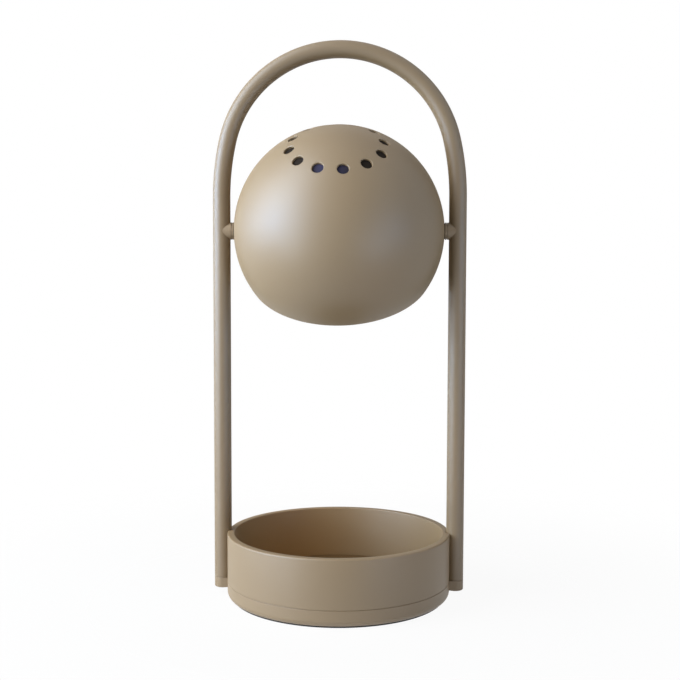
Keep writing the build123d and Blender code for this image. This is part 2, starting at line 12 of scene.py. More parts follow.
import bmesh
import bpy
import numpy as np
from mathutils import Matrix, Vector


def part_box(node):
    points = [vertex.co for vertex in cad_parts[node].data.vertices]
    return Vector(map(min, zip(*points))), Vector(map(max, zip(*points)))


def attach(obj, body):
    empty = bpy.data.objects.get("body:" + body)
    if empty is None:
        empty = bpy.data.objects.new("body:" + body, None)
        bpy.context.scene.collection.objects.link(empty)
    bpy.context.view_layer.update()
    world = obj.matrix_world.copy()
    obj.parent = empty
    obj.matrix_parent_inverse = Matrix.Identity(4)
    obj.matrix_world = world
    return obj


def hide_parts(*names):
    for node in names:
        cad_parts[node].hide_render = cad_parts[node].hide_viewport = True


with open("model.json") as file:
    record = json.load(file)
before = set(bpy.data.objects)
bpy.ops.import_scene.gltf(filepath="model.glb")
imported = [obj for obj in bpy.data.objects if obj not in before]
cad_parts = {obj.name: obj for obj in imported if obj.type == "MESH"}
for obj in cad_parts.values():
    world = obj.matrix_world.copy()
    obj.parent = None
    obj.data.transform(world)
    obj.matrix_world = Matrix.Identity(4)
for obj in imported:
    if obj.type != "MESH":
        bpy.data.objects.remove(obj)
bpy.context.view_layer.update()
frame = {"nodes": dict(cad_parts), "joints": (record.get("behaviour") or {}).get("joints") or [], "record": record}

# %% [markdown]
# ## Main sizes
# A dressed piece has to sit exactly where its solid is. The pivot's place and the tilt at rest come from the
# joint: its range is the same either side of the upright ball, so the middle of the range is the tilt. Along
# the pivot the sizes add up from the ball outwards: a small flat on the ball, a friction washer, a spacer,
# the stub of a bush, and then the tube. That sum is also half the distance between the legs.

# %% Sizes along the pivot
MM = 0.001
tilt_joint = next(joint for joint in frame["joints"] if joint["name"] == "shade_tilt")
pivot = np.array(tilt_joint["pos_m"])
rest_tilt = radians(-sum(tilt_joint["range_deg"]) / 2)

ball_radius = 60.0 * MM
tube_radius = 5.0 * MM
bush_radius = 4.9 * MM
washer_gap, washer_thickness = 0.05 * MM, 0.35 * MM
spacer_thickness, bush_stub = 1.3 * MM, 1.0 * MM
pivot_flat = sqrt(ball_radius ** 2 - bush_radius ** 2)
washer_start = pivot_flat + washer_gap
spacer_start = washer_start + washer_thickness
bush_start = spacer_start + spacer_thickness
half_span = bush_start + bush_stub + tube_radius
seam_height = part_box("hoop_tube")[0][2]
print("tilt at rest", round(degrees(rest_tilt), 1), "degrees, legs", round(2 * half_span / MM, 2), "mm apart")

# %% [markdown]
# ## Surfaces from formulas
# Each new surface is a grid: a function of two parameters, worked out for all its points at once. A piece is
# one or more such grids. Where two grids meet they share their border points, and merging doubles closes the
# seams and the poles. A ready-made sphere with holes cut by a Boolean would leave long thin triangles around
# the holes, and a satin finish shows those as ripples.

# %% Helpers for grids
WELD = 0.002 * MM
SHARP_ANGLE = radians(32)


def quads(rows, columns):
    """Corner numbers of the quads of a grid whose points are counted row by row."""
    corner = np.arange(rows * columns).reshape(rows, columns)[:-1, :-1]
    return np.stack((corner, corner + 1, corner + columns + 1, corner + columns), axis=-1).reshape(-1, 4)


def closed_turn(columns):
    """Angles once around, with the first one repeated at the end."""
    return np.linspace(0, 2 * pi, columns + 1)


def rounded(corners, steps=6):
    """Outline through corners (across, along, rounding). A rounding r is an arc that touches both runs."""
    points = []
    for index, (across, along, rounding) in enumerate(corners):
        here = np.array((across, along))
        if rounding == 0:
            points.append(here[None])
            continue
        before = np.array(corners[index - 1][:2]) - here
        after = np.array(corners[(index + 1) % len(corners)][:2]) - here
        before, after = before / np.linalg.norm(before), after / np.linalg.norm(after)
        half = acos(np.clip(before @ after, -1, 1)) / 2
        middle = (before + after) / np.linalg.norm(before + after)
        centre = here + middle * rounding / sin(half)
        first = here + before * rounding / np.tan(half) - centre
        last = here + after * rounding / np.tan(half) - centre
        sweep = acos(np.clip(first @ last / rounding ** 2, -1, 1))
        share = np.linspace(0, 1, steps + 1)[:, None]
        arc = np.sin((1 - share) * sweep) * first + np.sin(share * sweep) * last
        points.append(centre + arc / sin(sweep))
    return np.concatenate(points)


def spun(radius, height, angle):
    """Points (r cos a, r sin a, z) of whole arrays of radius, height and angle."""
    return np.stack(np.broadcast_arrays(radius * np.cos(angle), radius * np.sin(angle), height), axis=-1)


def turned(outline, columns=96):
    """Grid of a turned piece: at (s, a) its point is (r(s) cos a, r(s) sin a, z(s))."""
    return spun(outline[:, 0, None], outline[:, 1, None], closed_turn(columns))


# %% [markdown]
# A piece is one mesh made of its grids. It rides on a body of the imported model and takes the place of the
# solids that it stands for. An open edge would be a crack, so each piece prints how many it has.

# %% Helpers for pieces


def add_object(name, data):
    """New object in the scene."""
    made = bpy.data.objects.new(name, data)
    bpy.context.scene.collection.objects.link(made)
    return made


def make_piece(name, sheets, body, nodes, kinds=None):
    """Joins grids into one closed mesh that rides on a body and stands for nodes; kinds number finishes."""
    points, faces, numbers, count = [], [], [], 0
    for sheet, kind in zip(sheets, kinds or [0] * len(sheets)):
        rows, columns = sheet.shape[:2]
        points.append(sheet.reshape(-1, 3))
        faces.append(quads(rows, columns) + count)
        numbers.append(np.full(len(faces[-1]), kind, np.int32))
        count += rows * columns
    mesh = bpy.data.meshes.new(name)
    mesh.from_pydata(np.concatenate(points), [], np.concatenate(faces))
    mesh.polygons.foreach_set("material_index", np.concatenate(numbers))
    work = bmesh.new()
    work.from_mesh(mesh)
    bmesh.ops.remove_doubles(work, verts=work.verts, dist=WELD)
    bmesh.ops.recalc_face_normals(work, faces=work.faces)
    open_edges = sum(len(edge.link_faces) != 2 for edge in work.edges)
    work.to_mesh(mesh)
    work.free()
    mesh.shade_smooth()
    mesh.set_sharp_from_angle(angle=SHARP_ANGLE)
    piece = add_object(name, mesh)
    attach(piece, body)
    if nodes:
        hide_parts(*nodes)
    print(name, "faces", len(mesh.polygons), "open edges", open_edges)
    return piece


# %% [markdown]
# ## Hoop
# One steel tube is bent into the two legs, two long shoulders and the crown. Its centre line is straight runs
# and tangent arcs, so every point of it has a direction that points away from the bend's centre. A circle
# carried along that line gives the tube; a curve with a bevel would do too, but it leaves no say in where the
# rings lie. Just above the seam with the base each foot is set in a little, and so is the tray's ring. That
# leaves the fine shadow line that the photograph shows there.

# %% Hoop line
crown_inset, shoulder_rise = 2.0 * MM, 19.2 * MM
crown_radius = half_span - crown_inset
shoulder_radius = 145.0 * MM
shoulder_height = pivot[2] + shoulder_rise
shoulder_turn = acos((shoulder_radius - half_span) / (shoulder_radius - crown_radius))
crown_height = shoulder_height + (shoulder_radius - crown_radius) * sin(shoulder_turn)


def hoop_line(leg_rings=60, shoulder_rings=28, crown_rings=72):
    """Centre line from foot to foot as points P(s) with outward directions n(s), both in the XZ plane."""
    leg = np.linspace(seam_height, shoulder_height, leg_rings)
    shoulder = np.linspace(pi, pi - shoulder_turn, shoulder_rings)[1:]
    crown = np.linspace(pi - shoulder_turn, pi / 2, crown_rings)[1:]
    runs = (leg_rings, len(shoulder), len(crown))
    angle = np.concatenate((np.full(leg_rings, pi), shoulder, crown))
    outward = np.stack((np.cos(angle), 0 * angle, np.sin(angle)), axis=-1)
    bend = np.repeat((0, shoulder_radius, crown_radius), runs)
    centre_x = np.repeat((-half_span, shoulder_radius - half_span, 0), runs)
    centre_z = np.concatenate((leg, np.repeat((shoulder_height, crown_height), runs[1:])))
    line = np.stack((centre_x, 0 * centre_x, centre_z), axis=-1) + outward * bend[:, None]
    mirror = np.array((-1, 1, 1))
    return np.concatenate((line, line[-2::-1] * mirror)), np.concatenate((outward, outward[-2::-1] * mirror))


print("top of the hoop", round((crown_height + crown_radius + tube_radius) / MM, 1), "mm up")

# %% Hoop surface
tube_wall = 1.0 * MM
seam_gap, seam_depth = 0.2 * MM, 0.4 * MM


def carried(line, outward, radius, sides):
    """Grid of a tube: P(s) + r(s) (n(s) cos a + Y sin a)."""
    turn = closed_turn(sides)[None, :, None]
    spoke = outward[:, None] * np.cos(turn) + np.array((0, 1, 0)) * np.sin(turn)
    return line[:, None] + np.asarray(radius).reshape(-1, 1, 1) * spoke


def hoop_sheets(sides=64):
    """Outer wall, set in over a fine gap at each foot, then the bore and the two ring-shaped end faces."""
    line, outward = hoop_line()
    rows = np.pad(np.arange(len(line)), 2, mode="edge")
    line, outward = line[rows], outward[rows]
    line[[1, 2, -3, -2], 2] += seam_gap
    radius = np.full(len(line), tube_radius)
    radius[[0, 1, -2, -1]] -= seam_depth
    skin = carried(line, outward, radius, sides)
    bore = carried(line, outward, np.full(len(line), tube_radius - tube_wall), sides)
    return [skin, bore, np.stack((skin[0], bore[0])), np.stack((skin[-1], bore[-1]))]


hoop = make_piece("hoop", hoop_sheets(), "frame", ["hoop_tube"])

# %% [markdown]
# ## Ball shade
# The ball is spun from sheet, so it is a thin shell: an outer and an inner sphere joined at the mouth's
# rolled edge, at the twelve vents and at the two pivot holes. Rings of constant polar angle cover the plain
# parts. Each hole sits in a patch of its own, whose points run from the hole's edge out to the patch's
# border; on the border they are the same points as those of the rings.

# %% Sizes of the shell
ball_wall = 1.2 * MM
inner_radius = ball_radius - ball_wall
mouth_polar = radians(118.0)
mouth_drop = ball_radius * cos(mouth_polar)
mouth_round = 0.35 * MM
vent_count = 12
vent_radius = 3.2 * MM
vent_polar = radians(25.8)
vent_phase = radians(9.8)
vent_lip = 0.4 * MM
pivot_hole_radius = 3.54 * MM
seat_radius = 6.9 * MM
ball_axes = np.array(((1, 0, 0), (0, cos(rest_tilt), sin(rest_tilt)), (0, -sin(rest_tilt), cos(rest_tilt))))

vent_columns, vent_rows = 16, 8
ball_columns = vent_count * vent_columns
column_step = 2 * pi / ball_columns
vent_patch = radians(6.4)
vent_band = vent_polar + np.array((-1, 1)) * vent_patch
pivot_columns = 12
pivot_band = pi / 2 + np.array((-1, 1)) * pivot_columns / 2 * column_step
patch_rings, patch_crowding = 7, 1.4
print("columns around the ball:", ball_columns)

# %% Points on the ball


def in_ball(points):
    """Points of the ball's own frame, whose Z runs up through the ring of vents, in the lamp's frame."""
    return points @ ball_axes + pivot


def direction(polar, around):
    """Unit vector at a polar angle from the ball's axis and an angle around it."""
    polar, around = np.broadcast_arrays(polar, around)
    return np.stack((np.sin(polar) * np.cos(around), np.sin(polar) * np.sin(around), np.cos(polar)), axis=-1)


def on_sphere(across, radius):
    """Height of a sphere's surface above its centre, at a distance from the axis."""
    return sqrt(radius ** 2 - across ** 2)


print("mouth", round(2 * on_sphere(mouth_drop, ball_radius) / MM, 1), "mm across")

# %% Patches with a hole


def border_walk(polar_range, around_range, polar_steps, around_steps):
    """Directions once round a patch's border, with the first one repeated at the end."""
    polar = np.linspace(*polar_range, polar_steps + 1)
    around = np.linspace(*around_range, around_steps + 1)
    walk_polar = np.concatenate((np.full(around_steps, polar[0]), polar[:-1],
                                 np.full(around_steps, polar[-1]), polar[:0:-1], polar[:1]))
    walk_around = np.concatenate((around[:-1], np.full(polar_steps, around[-1]),
                                  around[:0:-1], np.full(polar_steps, around[0]), around[:1]))
    return direction(walk_polar, walk_around)


def holed_patch(polar, around, border, edge):
    """Inner and outer half of a patch of the shell with a round hole.

    An edge row (q, h) is a circle of radius q at height h along the hole's axis. Between the hole and the
    border a row is the straight blend (1 - w) hole + w border, pushed out to its sphere.
    """
    axis = direction(polar, around)
    down = direction(polar + pi / 2, around)
    side = np.cross(axis, down)
    turn = np.arctan2(border @ side, border @ down)[:, None]
    spoke = np.cos(turn) * down + np.sin(turn) * side
    edge = np.array(edge)[:, :, None, None]
    hole = edge[:, 0] * spoke + edge[:, 1] * axis
    share = np.linspace(0, 1, patch_rings + 1)[1:, None, None] ** patch_crowding

    def plain(circle, radius):
        """Rows from a circle out to the border, on a sphere."""
        blend = (1 - share) * circle + share * border * radius
        return blend * radius / np.linalg.norm(blend, axis=-1, keepdims=True)

    inner = np.concatenate((hole[:1], plain(hole[0], inner_radius)))
    return inner, np.concatenate((hole, plain(hole[-1], ball_radius)))


def vent_edge(steps=6):
    """Edge of a vent: a straight bore, then a quarter-round lip that runs out on the sphere."""
    roll = np.linspace(0, pi / 2, steps)
    lip_top = on_sphere(vent_radius + vent_lip, ball_radius)
    lip = [(vent_radius + vent_lip * (1 - cos(a)), lip_top - vent_lip * (1 - sin(a))) for a in roll]
    return [(vent_radius, on_sphere(vent_radius, inner_radius))] + lip


def pivot_edge():
    """Edge of a pivot hole: the bearing's seat inside, the bore, and the flat that the washer rubs on."""
    seat = on_sphere(seat_radius, inner_radius)
    bore = [(pivot_hole_radius, seat), (pivot_hole_radius, pivot_flat)]
    return [(seat_radius, seat)] + bore + [(bush_radius, pivot_flat)]


# %% [markdown]
# Three lugs inside carry the light unit's plate. A lug is a short bar, so a helper makes closed bars from
# rows of rounded rectangles: the same helper later makes the button and the charging socket, because a pill
# is a rounded rectangle whose corners take up its whole height.

# %% Lugs
lug_count = 3
lug_size = (8.0 * MM, 3.0 * MM)
lug_base = -9.8 * MM
lug_reach = 9.2 * MM


def bar(rows, columns=48):
    """Grid of a bar: a row (w, h, c, y) is a rounded rectangle w by h with corner radius c at y along it.

    At an angle t its point is ((w/2 - c) sign(cos t) + c cos t, y, (h/2 - c) sign(sin t) + c sin t).
    """
    rows = np.array(rows, float)[:, :, None]
    turn = closed_turn(columns)
    across, up = np.cos(turn).round(9), np.sin(turn).round(9)
    corner = rows[:, 2]
    x = (rows[:, 0] / 2 - corner) * np.sign(across) + corner * across
    z = (rows[:, 1] / 2 - corner) * np.sign(up) + corner * up
    return np.stack((x, rows[:, 3] + 0 * turn, z), axis=-1)


def about_z(points, angle):
    """Points turned about Z by an angle."""
    return points @ np.array(((cos(angle), sin(angle), 0), (-sin(angle), cos(angle), 0), (0, 0, 1)))


def lug_sheet(angle):
    """Lug from its free end to just inside the shell's wall; the row of no size closes each end."""
    width, height = lug_size
    far = on_sphere(lug_base, inner_radius) + ball_wall / 2
    near = on_sphere(lug_base, inner_radius) - lug_reach
    corner = 0.6 * MM
    grid = bar([(0, 0, 0, near), (width, height, corner, near), (width, height, corner, far), (0, 0, 0, far)])
    return about_z(grid + np.array((0, 0, lug_base + height / 2)), angle)


# %% [markdown]
# The shell is put together from the top down: a cap, the band of vents, a plain band, the band with the two
# pivot holes, one more plain band and the mouth's rolled edge. Its walls come in pairs, so that the inner one
# can have a finish of its own.

# %% Ball surface


def ball_sheets():
    """All grids of the shell, and 1 for each that shows only inside."""
    around = vent_phase + column_step * (vent_columns / 2 + np.arange(ball_columns + 1))
    pairs = []

    def band(low, high, columns, high_inner=None):
        """The two walls of a plain stretch of the shell; the inner one may end at another polar angle."""
        count = max(2, round((high - low) / column_step) + 1)
        outer = direction(np.linspace(low, high, count)[:, None], columns)
        inner = direction(np.linspace(low, high_inner or high, count)[:, None], columns)
        pairs.append((inner * inner_radius, outer * ball_radius))

    band(0, vent_band[0], around)
    for vent in range(vent_count):
        middle = vent_phase + vent * 2 * pi / vent_count
        sides = middle + np.array((-1, 1)) * column_step * vent_columns / 2
        border = border_walk(vent_band, sides, vent_rows, vent_columns)
        pairs.append(holed_patch(vent_polar, middle, border, vent_edge()))
    band(vent_band[1], pivot_band[0], around)
    for middle in (0, pi):
        column = around[np.argmax(np.cos(around - middle))]
        sides = column + np.array((-1, 1)) * column_step * pivot_columns / 2
        border = border_walk(pivot_band, sides, pivot_columns, pivot_columns)
        pairs.append(holed_patch(pi / 2, middle, border, pivot_edge()))
        band(*pivot_band, sides[1] + column_step * np.arange(ball_columns // 2 - pivot_columns + 1))
    lift = mouth_drop + 1.6 * mouth_round
    band(pivot_band[1], acos(lift / ball_radius), around, high_inner=acos(lift / inner_radius))

    inside = [(on_sphere(z, inner_radius), z) for z in (lift, mouth_drop)]
    outside = [(on_sphere(z, ball_radius), z) for z in (mouth_drop, lift)]
    roundings = (0, mouth_round, mouth_round, 0)
    edge = rounded([place + (rounding,) for place, rounding in zip(inside + outside, roundings)])
    mouth = spun(edge[:, :1], edge[:, 1:], around)
    lugs = [lug_sheet(2 * pi * number / lug_count) for number in range(lug_count)]
    sheets = [sheet for pair in pairs for sheet in pair] + [mouth] + lugs
    kinds = [1, 0] * (len(pairs) - 1) + [0, 0, 0] + [1] * lug_count
    return [in_ball(sheet) for sheet in sheets], kinds


ball_grids, ball_kinds = ball_sheets()
ball = make_piece("ball", ball_grids, "shade", ["ball_shade"], ball_kinds)

# %% [markdown]
# Through the vents the photograph shows no deep black holes but a dark surface close behind them, blue in the
# front two. So a thin gauze lies against the inside of the crown. Its blue, strongest at the front vents, is a
# painted reflection of the cool light. It is a band of a sphere, out along one face and back along the other.

# %% Vent gauze
gauze_gap = 0.04 * MM
gauze_thickness = 0.4 * MM


def gauze_sheet(rows=9):
    """Closed band: its rows go down the outer face and up the inner one."""
    polar = np.linspace(*vent_band, rows)
    walk = np.concatenate((polar, polar[::-1], polar[:1]))[:, None]
    depth = gauze_gap + gauze_thickness * np.repeat((0, 1, 0), (rows, rows, 1))
    return direction(walk, closed_turn(ball_columns)) * (inner_radius - depth)[:, None, None]


gauze = make_piece("vent_gauze", [in_ball(gauze_sheet())], "shade", [])

# %% [markdown]
# ## Tray ring
# The tray's side is a thick turned ring. Two upright flutes are milled into it, and the legs stand in them.
# In a radial formula the flute is simple: at an angle a from the leg the outer radius is the smaller of the
# ring's own radius and of L cos a - sqrt(f^2 - (L sin a)^2), where L is the leg's distance and f the flute's
# radius. Below, the ring fits into the pan. Three notches there clear the charging socket, the button and the
# lead: inside a notch the lower edge is lifted to the notch's top.

# %% Tray ring sizes
flute_depth, flute_gap = 1.85 * MM, 0.05 * MM
ring_wall, lip_width, spigot_step = 4.15 * MM, 2.7 * MM, 2.35 * MM
rim_outer_round, rim_inner_round, seam_edge = 0.9 * MM, 0.5 * MM, 0.08 * MM
floor_underside, notch_height = 6.0 * MM, 2.4 * MM
ring_radius = half_span - tube_radius + flute_depth
flute_radius = tube_radius + flute_gap
ring_inner = ring_radius - ring_wall
lip_radius = ring_inner - lip_width
spigot_radius = ring_radius - spigot_step
rim_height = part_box("tray_ring")[1][2]
lip_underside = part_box("tray_ring")[0][2]
notch_top = lip_underside + notch_height
socket_angle, button_angle, lead_angle = radians(90), radians(72), radians(180)
wide_notch, lead_notch = radians(4.6), radians(1.5)
notches = [(socket_angle, wide_notch), (button_angle, wide_notch), (lead_angle, lead_notch)]
print("ring", round(2 * ring_radius / MM, 1), "mm across, rim", round(rim_height / MM, 1), "mm up")

# %% Tray ring surface
notch_step = 1e-5


def ring_angles(plain_columns=120, flute_columns=20):
    """Angles once around, crowded in the flutes, with columns at the edges of flutes and notches."""
    edge = acos((half_span ** 2 + ring_radius ** 2 - flute_radius ** 2) / (2 * half_span * ring_radius))
    flute = np.linspace(-edge, edge, flute_columns + 1)[:-1]
    plain = np.linspace(edge, pi - edge, plain_columns + 1)[:-1]
    half_turn = np.concatenate((flute, plain))
    sides = np.array([middle + side * half for middle, half in notches for side in (-1, 1)])
    angles = (half_turn, half_turn + pi, [2 * pi - edge], sides - notch_step, sides + notch_step)
    return np.sort(np.concatenate(angles))


def fluted_radius(angle):
    """Outer radius of the ring with its two flutes."""
    reach = half_span * np.abs(np.cos(angle))
    inside = flute_radius ** 2 - (half_span * np.sin(angle)) ** 2
    flute = np.where(inside > 0, reach - np.sqrt(np.maximum(inside, 0)), ring_radius)
    return np.minimum(ring_radius, flute)


def ring_sheet():
    """Turned outline: its outer run moves in with the flutes, its lower edge moves up in the notches."""
    gap_top = seam_height + seam_gap
    outline = rounded([
        (ring_inner, floor_underside, 0), (lip_radius, floor_underside, 0), (lip_radius, lip_underside, 0),
        (spigot_radius, lip_underside, 0), (spigot_radius, seam_height, 0),
        (ring_radius - seam_depth, seam_height, 0), (ring_radius - seam_depth, gap_top, 0),
        (ring_radius - seam_edge, gap_top, 0), (ring_radius, gap_top + seam_edge, 0),
        (ring_radius, rim_height, rim_outer_round), (ring_inner, rim_height, rim_inner_round),
        (ring_inner, floor_underside, 0),
    ])
    angle = ring_angles()
    radius, height = outline[:, 0, None], outline[:, 1, None]
    follows = (radius > ring_radius - rim_outer_round - WELD) & (height >= seam_height)
    radius = radius - follows * (ring_radius - fluted_radius(angle))
    notched = np.any([np.abs(angle - middle) < half for middle, half in notches], axis=0)
    radius = np.where(notched, np.maximum(radius, ring_inner), radius)
    height = np.where(notched, np.maximum(height, notch_top), height)
    return spun(radius, height, angle)


ring = make_piece("ring", [ring_sheet()], "frame", ["tray_ring"])

# %% [markdown]
# Below the seam the photograph shows no dark crevice between the leg's end and the base: a web fills it on
# both sides of each leg. Seen from above, a web is the small three-sided piece between the base's circle, the
# leg's circle and the straight line that touches the leg's front.

# %% Webs at the legs' ends
web_gap, web_drop, web_depth = 0.02 * MM, 0.1 * MM, 5.6 * MM
web_top = seam_height - web_drop
web_low = seam_height - web_depth


def web_sheets(side, front, columns=8):
    """Top, underside and three walls of a web; its columns run from the crevice's bottom to its mouth."""
    base, leg = ring_radius + web_gap, tube_radius + web_gap
    across = (half_span ** 2 + base ** 2 - leg ** 2) / (2 * half_span)
    on_base = np.linspace(acos(across / base), np.arcsin(leg / base), columns + 1)
    on_leg = np.linspace(acos((across - half_span) / leg), pi / 2, columns + 1)
    plan = np.array(((base * np.cos(on_base), base * np.sin(on_base)),
                     (half_span + leg * np.cos(on_leg), leg * np.sin(on_leg)))).transpose(0, 2, 1)
    low, top = (np.insert(plan, 2, level, axis=-1) for level in (web_low, web_top))
    walls = [np.stack((low[row], top[row])) for row in (0, 1)] + [np.stack((low[:, -1], top[:, -1]))]
    return [sheet * np.array((side, front, 1)) for sheet in [low, top] + walls]


web_grids = [sheet for side in (-1, 1) for front in (-1, 1) for sheet in web_sheets(side, front)]
webs = make_piece("leg_webs", web_grids, "frame", [])

# %% [markdown]
# ## Foot pad
# The lamp stands on a dark pad. The photograph shows it as a dark line under the pan that goes well up the
# left side, so the pad reaches out under the pan's rounded edge. It is a turned piece with a softened lower
# edge.

# %% Pad
pad_radius, pad_thickness, pad_round = 61.5 * MM, 0.8 * MM, 0.25 * MM
pad_outline = rounded([(0, 0, 0), (pad_radius, 0, pad_round), (pad_radius, pad_thickness, 0),
                       (0, pad_thickness, 0)])
pad = make_piece("pad", [turned(pad_outline, columns=192)], "frame", ["foot_pad"])

# %% [markdown]
# ## Pivots
# On each side a bush is cut like a saddle to sit on the tube: at a distance y from the pivot's axis, seen
# from above, the tube's surface is half_span - sqrt(t^2 - y^2) from the middle, so that is where the bush
# ends. A spacer of the same width and a thin dark washer fill the gap to the ball. Their edges are broken a
# little and the spacer ends in a narrow neck, so the joint shows the two fine lines that it has in the
# photograph.

# %% Bushes, spacers and washers
bolt_bore = 2.54 * MM
edge_break = 0.18 * MM
washer_radius, washer_break = 4.45 * MM, 0.08 * MM
spacer_neck = 0.35 * MM


def on_pivot(grid, side):
    """Grid turned about Z, laid on the pivot's axis: its Z points outwards and its X up."""
    return grid @ np.array(((0, 0, 1), (0, 1, 0), (side, 0, 0))) + pivot


def bush_sheet(side):
    """Round bush with a flat end at the spacer and a saddle end at the tube."""
    flat = rounded([(bolt_bore, bush_start, 0), (bush_radius, bush_start, edge_break),
                    (bush_radius, bush_start + 3 * edge_break, 0)], steps=4)
    saddle = np.array(((bush_radius, 0), (bolt_bore, 0)))
    grid = turned(np.concatenate((flat, saddle, flat[:1])), columns=72)
    grid[-3:-1, :, 2] = half_span - np.sqrt(tube_radius ** 2 - grid[-3:-1, :, 1] ** 2)
    return on_pivot(grid, side)


def disc_sheet(side, radius, low, high, rounding, neck=0):
    """Disc with a bore and softened edges. A neck, as narrow as the washer, can be its outer end."""
    shoulder = high - neck
    outline = [(bolt_bore, low, 0), (radius, low, rounding), (radius, shoulder, rounding)]
    if neck:
        outline += [(washer_radius, shoulder, 0), (washer_radius, high, 0)]
    outline += [(bolt_bore, high, 0), (bolt_bore, low, 0)]
    return on_pivot(turned(rounded(outline, steps=4), columns=72), side)


painted, washers = [ring, webs], []
for name, side in (("left", -1), ("right", 1)):
    bush = bush_sheet(side)
    painted.append(make_piece("bush_" + name, [bush], "frame", ["saddle_bush_" + name]))
    spacer = disc_sheet(side, bush_radius, spacer_start, bush_start, edge_break, spacer_neck)
    painted.append(make_piece("spacer_" + name, [spacer], "frame", ["pivot_spacer_" + name]))
    washer = disc_sheet(side, washer_radius, washer_start, spacer_start, washer_break)
    washers.append(make_piece("washer_" + name, [washer], "frame", ["friction_washer_" + name]))

# %% [markdown]
# ## Diffuser and its clip
# From below the mouth shows an opal disc, held by a sprung wire ring that opens at one place so that it can
# be squeezed out. The wire is a circle carried round an arc; its radius runs to nothing at both ends, which
# rounds them off.

# %% Light opening
mouth_recess = 3.2 * MM
diffuser_gap, diffuser_thickness, diffuser_round = 0.4 * MM, 2.0 * MM, 0.5 * MM
diffuser_radius = on_sphere(mouth_drop, inner_radius) - diffuser_gap
diffuser_low = mouth_drop + mouth_recess
diffuser_top = diffuser_low + diffuser_thickness
wire_gap, wire_radius = 0.1 * MM, 0.9 * MM
wire_level = diffuser_low - wire_radius
wire_circle = on_sphere(wire_level, inner_radius - wire_gap - wire_radius)
wire_opening = radians(9)


def wire_sheet(rings=240, sides=20):
    """Wire ring: at (s, a) its point is R(a) = c + r(s) cos a from the axis, at height r(s) sin a."""
    end = np.linspace(0, pi / 2, 7)
    tip = wire_radius / wire_circle
    lead_in = tip * (1 - np.cos(end))
    whole = 2 * pi - wire_opening
    along = np.concatenate((lead_in, np.linspace(tip, whole - tip, rings)[1:-1], whole - lead_in[::-1]))
    radius = np.concatenate((wire_radius * np.sin(end), np.full(rings - 2, wire_radius),
                             wire_radius * np.sin(end[::-1])))
    turn = closed_turn(sides)
    across = wire_circle + radius[:, None] * np.cos(turn)
    height = wire_level + radius[:, None] * np.sin(turn)
    return spun(across, height, along[:, None])


disc = rounded([(0, diffuser_low, 0), (diffuser_radius, diffuser_low, diffuser_round),
                (diffuser_radius, diffuser_top, diffuser_round), (0, diffuser_top, 0)])
opal_disc = make_piece("opal_disc", [in_ball(turned(disc, columns=160))], "shade", ["diffuser"])
wire_clip = make_piece("wire_clip", [in_ball(wire_sheet())], "shade", ["retaining_ring"])

# %% [markdown]
# ## Button and charging socket
# Both are pills in the pan's rear wall, so both are bars. The button is one bar from its stem through the
# flange that keeps it in to its cap, whose front follows the wall's curve. The socket is a thin shell that
# turns in at its mouth, with a dark tongue inside.

# %% Button
no_size = (0, 0)
button_level, button_proud = 4.8 * MM, 0.6 * MM
button_front = ring_radius + button_proud
cap_size, cap_round = (7.0 * MM, 2.8 * MM), 0.35 * MM
stem_size, flange_size = (1.2 * MM, 1.2 * MM), (8.8 * MM, 3.0 * MM)
stem_back, flange_back, flange_front = 58.4 * MM, 60.8 * MM, 61.7 * MM


def pill(size, along, inset=0):
    """Row of a bar: a pill of a width and a height, smaller all round by an inset, at a place along it."""
    width, height = np.subtract(size, 2 * inset)
    return width, height, min(width, height) / 2, along


def button_sheet():
    """Stem, flange and cap; the cap's rows are moved back to follow a cylinder of the front's radius."""
    hidden = [pill(no_size, stem_back), pill(stem_size, stem_back), pill(stem_size, flange_back),
              pill(flange_size, flange_back), pill(flange_size, flange_front), pill(cap_size, flange_front)]
    edge = [pill(cap_size, button_front - cap_round * (1 - sin(roll)), cap_round * (1 - cos(roll)))
            for roll in np.linspace(0, pi / 2, 7)]
    face = [pill(np.multiply(edge[-1][:2], share), button_front) for share in (0.75, 0.5, 0.25, 0)]
    grid = bar(hidden + edge + face)
    crown = button_front - np.sqrt(button_front ** 2 - grid[..., 0] ** 2)
    grid[len(hidden):, :, 1] -= crown[len(hidden):]
    return about_z(grid + np.array((0, 0, button_level)), button_angle - pi / 2)


button = make_piece("button", [button_sheet()], "button", ["power_button"])

# %% Charging socket
socket_level = 4.2 * MM
shell_size, shell_wall = (8.94 * MM, 3.2 * MM), 0.3 * MM
shell_back, shell_bottom, shell_front = 56.3 * MM, 57.6 * MM, 63.6 * MM
lip_steps = np.array(((0, 0.12), (0.04, 0.02), (0.09, 0))) * MM
tongue_size, tongue_edge = (6.7 * MM, 0.7 * MM), 0.1 * MM
tongue_back, tongue_front = 57.5 * MM, 62.8 * MM


def socket_sheets():
    """Shell with a turned-in mouth, and the tongue; a lip step is how far in and how far back a row lies."""
    mouth = [pill(shell_size, shell_front - back, inset) for inset, back in lip_steps]
    mouth += [pill(shell_size, shell_front - back, shell_wall - inset) for inset, back in lip_steps[::-1]]
    shell = [pill(no_size, shell_back), pill(shell_size, shell_back)] + mouth
    shell += [pill(shell_size, shell_bottom, shell_wall), pill(no_size, shell_bottom)]
    tongue = [pill(no_size, tongue_back), pill(tongue_size, tongue_back),
              pill(tongue_size, tongue_front - 2 * tongue_edge), pill(tongue_size, tongue_front, tongue_edge),
              pill(no_size, tongue_front)]
    level = np.array((0, 0, socket_level))
    return [bar(shell) + level, bar(tongue) + level]


socket = make_piece("socket", socket_sheets(), "frame", ["usb_socket"], [0, 1])

# %% [markdown]
# ## Shader maths
# A finish is worked out with ordinary Python expressions. The class below wraps a node's output, and adding
# or multiplying two of them adds the Math node that does it. Every other node comes from one method, which
# takes the node's kind, its settings and its sockets.

# %% Expressions for shaders


